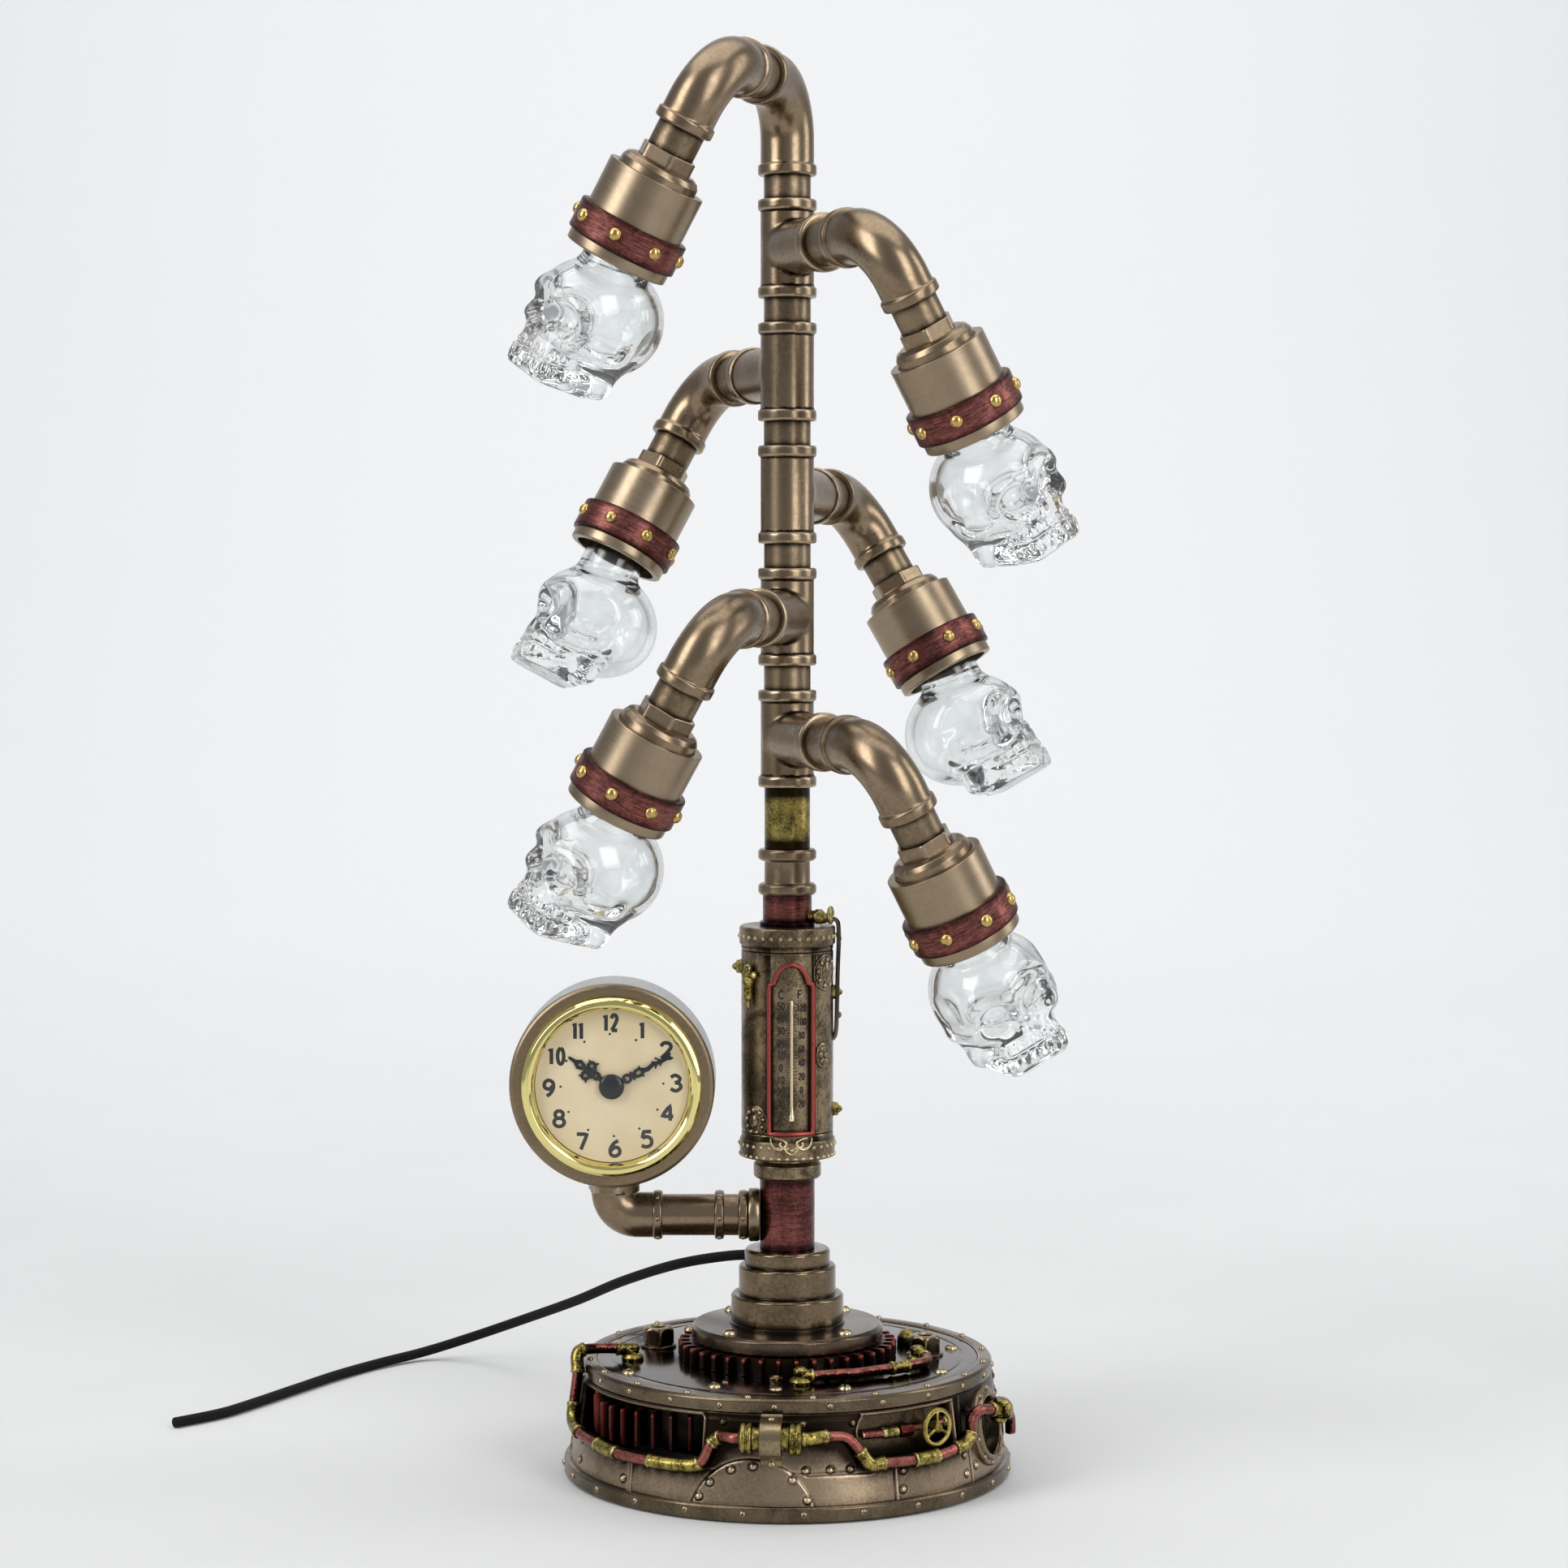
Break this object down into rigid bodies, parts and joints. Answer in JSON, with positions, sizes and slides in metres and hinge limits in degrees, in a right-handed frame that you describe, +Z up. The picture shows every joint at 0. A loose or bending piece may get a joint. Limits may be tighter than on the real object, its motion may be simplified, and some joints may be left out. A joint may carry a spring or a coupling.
{
  "type": "pipe desk lamp with clock",
  "caption": "Table lamp of antique bronze pipe fittings: a column of tees holds bent arms with studded cups and turning glass skulls, over a riveted round base with a clock and thermometer.",
  "frame": {"origin": "centre of the felt pad's underside, on the floor under the column's axis", "axes": "+Z up along the column, -Y towards the clock's dial and the viewer of the picture, -X towards the clock"},
  "size_m": [0.3662, 0.2953, 0.559],
  "materials": {
    "antique_bronze": "satin antique bronze with worn edges",
    "dark_bronze": "glossy dark brown bronze",
    "satin_bronze": "satin brushed bronze",
    "red_copper": "red copper patina",
    "red_band": "brushed dark red",
    "aged_brass": "mottled aged brass",
    "polished_brass": "polished",
    "clear_glass": "clear",
    "dial_cream": "matt printed",
    "black_plastic": "satin",
    "steel": "plain",
    "iron": "rough",
    "white_plastic": "matt",
    "rubber": "matt",
    "cord_fabric": "braided",
    "felt": "felt",
    "wire": "plain"
  },
  "bodies": {
    "lamp_stand": {"base_drum": "antique_bronze", "base_hoops": "antique_bronze", "base_top_plate": "dark_bronze", "base_floor_plate": "steel", "felt_pad": "felt", "ballast_disc": "iron", "window_gear": "dark_bronze", "neck_gear": "dark_bronze", "neck_flange": "antique_bronze", "stepped_neck": "antique_bronze", "base_screws": "antique_bronze", "casting_rivets": "antique_bronze", "base_copper_pipes": "red_copper", "base_brass_fittings": "aged_brass", "brass_canister": "aged_brass", "handwheel_bracket": "aged_brass", "porthole_frame": "antique_bronze", "dimmer_switch": "black_plastic", "led_driver": "white_plastic", "cord_gland": "rubber", "power_cord": "cord_fabric", "wire_harness": "wire", "lower_copper_sleeve": "red_copper", "barrel_caps": "antique_bronze", "thermometer_barrel": "antique_bronze", "thermometer_plate": "dark_bronze", "thermometer_frame": "red_copper", "thermometer_tube": "aged_brass", "barrel_fittings": "aged_brass", "upper_copper_sleeve": "red_copper", "lower_coupling": "antique_bronze", "brass_nipple": "aged_brass", "pipe_nipples": "antique_bronze", "column_tees": "antique_bronze", "top_elbow": "antique_bronze", "arm_elbows": "antique_bronze", "hex_bushings": "antique_bronze", "lamp_cups": "satin_bronze", "cup_bands": "red_band", "band_studs": "polished_brass", "led_modules": "white_plastic", "skull_grips": "rubber", "pipe_clamps": "antique_bronze", "clock_arm_pipe": "antique_bronze", "clock_case": "antique_bronze"},
    "clock_insert": {"clock_movement": "black_plastic", "clock_bezel": "polished_brass", "clock_lens": "clear_glass", "clock_dial": "dial_cream", "clock_battery": "steel"},
    "hour_hand": {"hour_hand": "black_plastic"},
    "minute_hand": {"minute_hand": "black_plastic"},
    "time_set_knob": {"time_set_knob": "steel"},
    "handwheel": {"handwheel": "aged_brass"},
    "skull_1": {"glass_skull_1": "clear_glass"},
    "skull_2": {"glass_skull_2": "clear_glass"},
    "skull_3": {"glass_skull_3": "clear_glass"},
    "skull_4": {"glass_skull_4": "clear_glass"},
    "skull_5": {"glass_skull_5": "clear_glass"},
    "skull_6": {"glass_skull_6": "clear_glass"}
  },
  "joints": [
    {"name": "clock_insert_pull", "type": "slide", "parent": "lamp_stand", "child": "clock_insert", "axis": [0, -1, 0], "range_m": [0, 0.03]},
    {"name": "time_set_turn", "type": "hinge", "parent": "clock_insert", "child": "time_set_knob", "pos_m": [-0.069, 0, 0.156], "axis": [0, 1, 0], "continuous": true},
    {"name": "minute_turn", "type": "hinge", "parent": "clock_insert", "child": "minute_hand", "pos_m": [-0.069, -0.019, 0.156], "axis": [0, 1, 0], "continuous": true},
    {"name": "hour_turn", "type": "hinge", "parent": "clock_insert", "child": "hour_hand", "pos_m": [-0.069, -0.018, 0.156], "axis": [0, 1, 0], "continuous": true},
    {"name": "dimmer_turn", "type": "hinge", "parent": "lamp_stand", "child": "handwheel", "pos_m": [0.05514, -0.06124, 0.0313], "axis": [-0.6691, 0.7431, 0], "range_deg": [0, 270]},
    {"name": "skull_1_turn", "type": "hinge", "parent": "lamp_stand", "child": "skull_1", "pos_m": [-0.06038, -0.06818, 0.4819], "axis": [0.4611, -0.1498, 0.8746], "continuous": true},
    {"name": "skull_2_turn", "type": "hinge", "parent": "lamp_stand", "child": "skull_2", "pos_m": [0.06718, -0.06149, 0.4184], "axis": [-0.4429, -0.1972, 0.8746], "continuous": true},
    {"name": "skull_3_turn", "type": "hinge", "parent": "lamp_stand", "child": "skull_3", "pos_m": [-0.06662, 0.06243, 0.37072], "axis": [0.4533, 0.1924, 0.8704], "continuous": true},
    {"name": "skull_4_turn", "type": "hinge", "parent": "lamp_stand", "child": "skull_4", "pos_m": [0.06201, 0.06765, 0.32338], "axis": [-0.4827, 0.1568, 0.8616], "continuous": true},
    {"name": "skull_5_turn", "type": "hinge", "parent": "lamp_stand", "child": "skull_5", "pos_m": [-0.06093, -0.068, 0.27472], "axis": [0.4683, -0.1522, 0.8704], "continuous": true},
    {"name": "skull_6_turn", "type": "hinge", "parent": "lamp_stand", "child": "skull_6", "pos_m": [0.06613, -0.06196, 0.22578], "axis": [-0.4289, -0.1909, 0.8829], "continuous": true}
  ],
  "couplings": [
    {"joint": "minute_turn", "follows": "time_set_turn", "ratio": 1},
    {"joint": "hour_turn", "follows": "time_set_turn", "ratio": 0.083333}
  ]
}
